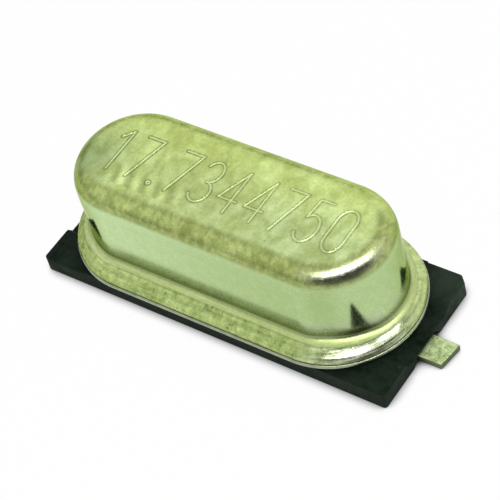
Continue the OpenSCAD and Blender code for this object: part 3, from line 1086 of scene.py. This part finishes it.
def can_finish():
    """Drawn plated steel with a yellow-green cast: satin top, burnished wall, lines run around the rim."""
    finish, tree, surface = new_finish("can_metal")
    mark = {zone: point_mark(tree, zone) for zone in CAN_ZONES}
    pattern = can_patterns(tree)
    x, y, _ = split_vector(tree, position(tree))
    bare_rim = times(tree, mark["bare"], mark["rim"])

    colour = can_zone_colours(tree, mark, pattern, x, y)
    dark_streaks = ranged(tree, pattern["streaks"], 0.42, 0.12, 0, 0.85)
    colour = tinted(tree, colour, bare_rim, dark_streaks, (0.07, 0.08, 0.045))
    colour = can_tarnish(tree, colour, mark, pattern)
    colour = can_wear(tree, colour, mark, pattern, x)
    tree.links.new(colour, surface.inputs["Base Color"])
    surface.inputs["Metallic"].default_value = 1
    surface.inputs["Specular Tint"].default_value = (0.58, 0.64, 0.40, 1)

    gloss = ranged(tree, pattern["blotch"], 0, 1, 0.09, 0.14)
    for share, low, high, name in (
        (mark["satin"], 0.28, 0.40, "strokes"),
        (mark["edge"], 0.17, 0.23, "blotch"),
        (mark["dull"], 0.24, 0.32, "blotch"),
        (mark["foot"], 0.36, 0.48, "strokes"),
        (mark["rim"], 0.26, 0.38, "lines"),
        (mark["bare"], 0.13, 0.19, "blotch"),
        (bare_rim, 0.19, 0.36, "lines"),
    ):
        gloss = number_mix(tree, share, gloss, ranged(tree, pattern[name], 0, 1, low, high))
    tree.links.new(gloss, surface.inputs["Roughness"])

    around = tree.nodes.new("ShaderNodeAttribute")
    around.attribute_name = "run"
    tree.links.new(around.outputs["Vector"], surface.inputs["Tangent"])
    surface.inputs["Anisotropic Rotation"].default_value = 0.25
    tree.links.new(times(tree, mark["rim"], 0.8), surface.inputs["Anisotropic"])

    relief = times(tree, pattern["grain"], times(tree, mark["satin"], GRAIN_HEIGHT))
    ridges = times(tree, pattern["lines"], times(tree, mark["rim"], RIDGE_HEIGHT))
    relief = math_node(tree, "ADD", relief, ridges)
    relief = math_node(tree, "SUBTRACT", relief, times(tree, pattern["pits"], PIT_DEPTH))
    bumped(tree, surface, relief, 1)
    return finish


def plain_metal(name, dark, light, spread, size, gloss):
    """Satin metal whose colour, gloss and grain vary a little over the surface."""
    finish, tree, surface = new_finish(name)
    blotch = placed(tree, "mottle", blotch_size=size)
    grain = placed(tree, "grain", grain_size=size / 6)
    tree.links.new(blended(tree, blotch, dark, light), surface.inputs["Base Color"])
    surface.inputs["Metallic"].default_value = 1
    tree.links.new(ranged(tree, blotch, 0, 1, gloss, gloss + spread), surface.inputs["Roughness"])
    bumped(tree, surface, grain, 0.003)
    return finish


def lead_finish():
    """Tinned flat wire: pale faces with dark specks, and side faces darkened by painted shade."""
    finish, tree, surface = new_finish("lead_metal")
    blotch = placed(tree, "mottle", blotch_size=0.2)
    specks = placed(tree, "specks", speck_spacing=0.09, speck_radius=0.34)
    grain = placed(tree, "grain", grain_size=0.04)
    facing_way = tree.nodes.new("ShaderNodeTexCoord").outputs["Normal"]
    level = math_node(tree, "ABSOLUTE", split_vector(tree, facing_way)[2])
    colour = blended(tree, blotch, (0.36, 0.48, 0.19), (0.74, 0.86, 0.50))
    colour = tinted(tree, colour, specks, 0.6, (0.16, 0.22, 0.07))
    # Painted shade: the side faces of the wire are dark
    colour = blended(tree, ranged(tree, level, 0.85, 0.4, 0, 0.88), colour, (0.08, 0.10, 0.055))
    tree.links.new(colour, surface.inputs["Base Color"])
    surface.inputs["Metallic"].default_value = 1
    tree.links.new(ranged(tree, blotch, 0, 1, 0.42, 0.54), surface.inputs["Roughness"])
    bumped(tree, surface, grain, 0.003)
    return finish


def plate_finish():
    """Moulded plastic, dull black with a green cast, scuffed a little paler, with painted light on its back
    right corner.
    """
    finish, tree, surface = new_finish("plate_plastic")
    cloud = placed(tree, "mottle", blotch_size=0.8)
    scuffs = placed(tree, "mottle", blotch_size=0.16)
    grain = placed(tree, "grain", grain_size=0.05)
    pits = placed(tree, "specks", speck_spacing=0.35, speck_radius=0.12)
    colour = blended(tree, cloud, (0.003, 0.008, 0.004), (0.013, 0.022, 0.014))
    colour = tinted(tree, colour, scuffs, 0.35, (0.022, 0.035, 0.024))
    x, y, _ = split_vector(tree, position(tree))
    # Painted light: the back right corner of the plate is paler, in patches
    lit_back_corner = ranged(tree, math_node(tree, "ADD", x, y), 5.4, 7.4, 0, 0.6)
    patchy_light = ranged(tree, cloud, 0.1, 0.8, 0.3, 1)
    colour = tinted(tree, colour, lit_back_corner, patchy_light, (0.034, 0.050, 0.035))
    colour = tinted(tree, colour, pits, 0.5, (0.03, 0.042, 0.032))
    tree.links.new(colour, surface.inputs["Base Color"])
    surface.inputs["Specular IOR Level"].default_value = 0.05
    tree.links.new(ranged(tree, scuffs, 0, 1, 0.48, 0.68), surface.inputs["Roughness"])
    relief = math_node(tree, "SUBTRACT", grain, times(tree, pits, 0.5))
    bumped(tree, surface, relief, 0.008)
    return finish


def clear_finish(name, colour, tint, clearness, gloss):
    """Glass or crystal with slight clouding."""
    finish, tree, surface = new_finish(name)
    blotch = placed(tree, "mottle", blotch_size=0.4)
    tree.links.new(blended(tree, blotch, colour, tint), surface.inputs["Base Color"])
    surface.inputs["Transmission Weight"].default_value = clearness
    surface.inputs["IOR"].default_value = 1.54
    tree.links.new(ranged(tree, blotch, 0, 1, gloss, gloss + 0.08), surface.inputs["Roughness"])
    bumped(tree, surface, placed(tree, "grain", grain_size=0.12), 0.001)
    return finish


def glue_finish():
    """Silver-filled resin: grey, grainy and half shiny."""
    finish, tree, surface = new_finish("conductive_glue")
    flakes = placed(tree, "specks", speck_spacing=0.04, speck_radius=0.5)
    blotch = placed(tree, "mottle", blotch_size=0.15)
    colour = blended(tree, blotch, (0.36, 0.36, 0.34), (0.48, 0.48, 0.46))
    tree.links.new(blended(tree, flakes, colour, (0.7, 0.7, 0.68)), surface.inputs["Base Color"])
    tree.links.new(ranged(tree, flakes, 0, 1, 0.1, 0.7), surface.inputs["Metallic"])
    tree.links.new(ranged(tree, blotch, 0, 1, 0.4, 0.55), surface.inputs["Roughness"])
    bumped(tree, surface, placed(tree, "grain", grain_size=0.05), 0.006)
    return finish


# Dressing

def dress(piece, finish, node):
    """Gives a new piece its finish and puts it in its node's place."""
    piece.data.materials.clear()
    piece.data.materials.append(finish)
    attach(piece, "root")
    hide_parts(node)


# The scene

make_camera()
make_stage()
bpy.context.scene.view_settings.view_transform = "Standard"

base_metal = plain_metal(
    "base_metal", (0.28, 0.31, 0.21), (0.38, 0.41, 0.29), spread=0.1, size=0.3, gloss=0.24)
lead_metal = lead_finish()
clip_metal = plain_metal(
    "clip_metal", (0.52, 0.50, 0.44), (0.66, 0.64, 0.58), spread=0.08, size=0.2, gloss=0.24)
electrode_metal = plain_metal(
    "electrode_metal", (0.80, 0.80, 0.77), (0.88, 0.88, 0.85), spread=0.08, size=0.25, gloss=0.16)
seal_glass = clear_finish("seal_glass", (0.07, 0.15, 0.13), (0.12, 0.23, 0.2), clearness=0.35, gloss=0.08)
quartz = clear_finish("quartz", (0.90, 0.94, 0.95), (0.95, 0.97, 0.98), clearness=0.8, gloss=0.05)
glue = glue_finish()

dress(make_can(), can_finish(), "can")
dress(make_base(), base_metal, "base")
plate = softened_copy("insulator_plate", "moulded_plate", PLATE_EDGE)
dress(plate, plate_finish(), "insulator_plate")
for side in ("left", "right"):
    lead = softened_copy("lead_" + side, "wire_lead_" + side, LEAD_EDGE)
    dress(lead, lead_metal, "lead_" + side)

KEPT_NODES = {
    "glass_seal_left": seal_glass,
    "glass_seal_right": seal_glass,
    "spring_clip_left": clip_metal,
    "spring_clip_right": clip_metal,
    "quartz_blank": quartz,
    "electrode_top": electrode_metal,
    "electrode_bottom": electrode_metal,
    "glue_dot_left": glue,
    "glue_dot_right": glue,
}
for name, finish in KEPT_NODES.items():
    nodes[name].data.materials.clear()
    nodes[name].data.materials.append(finish)
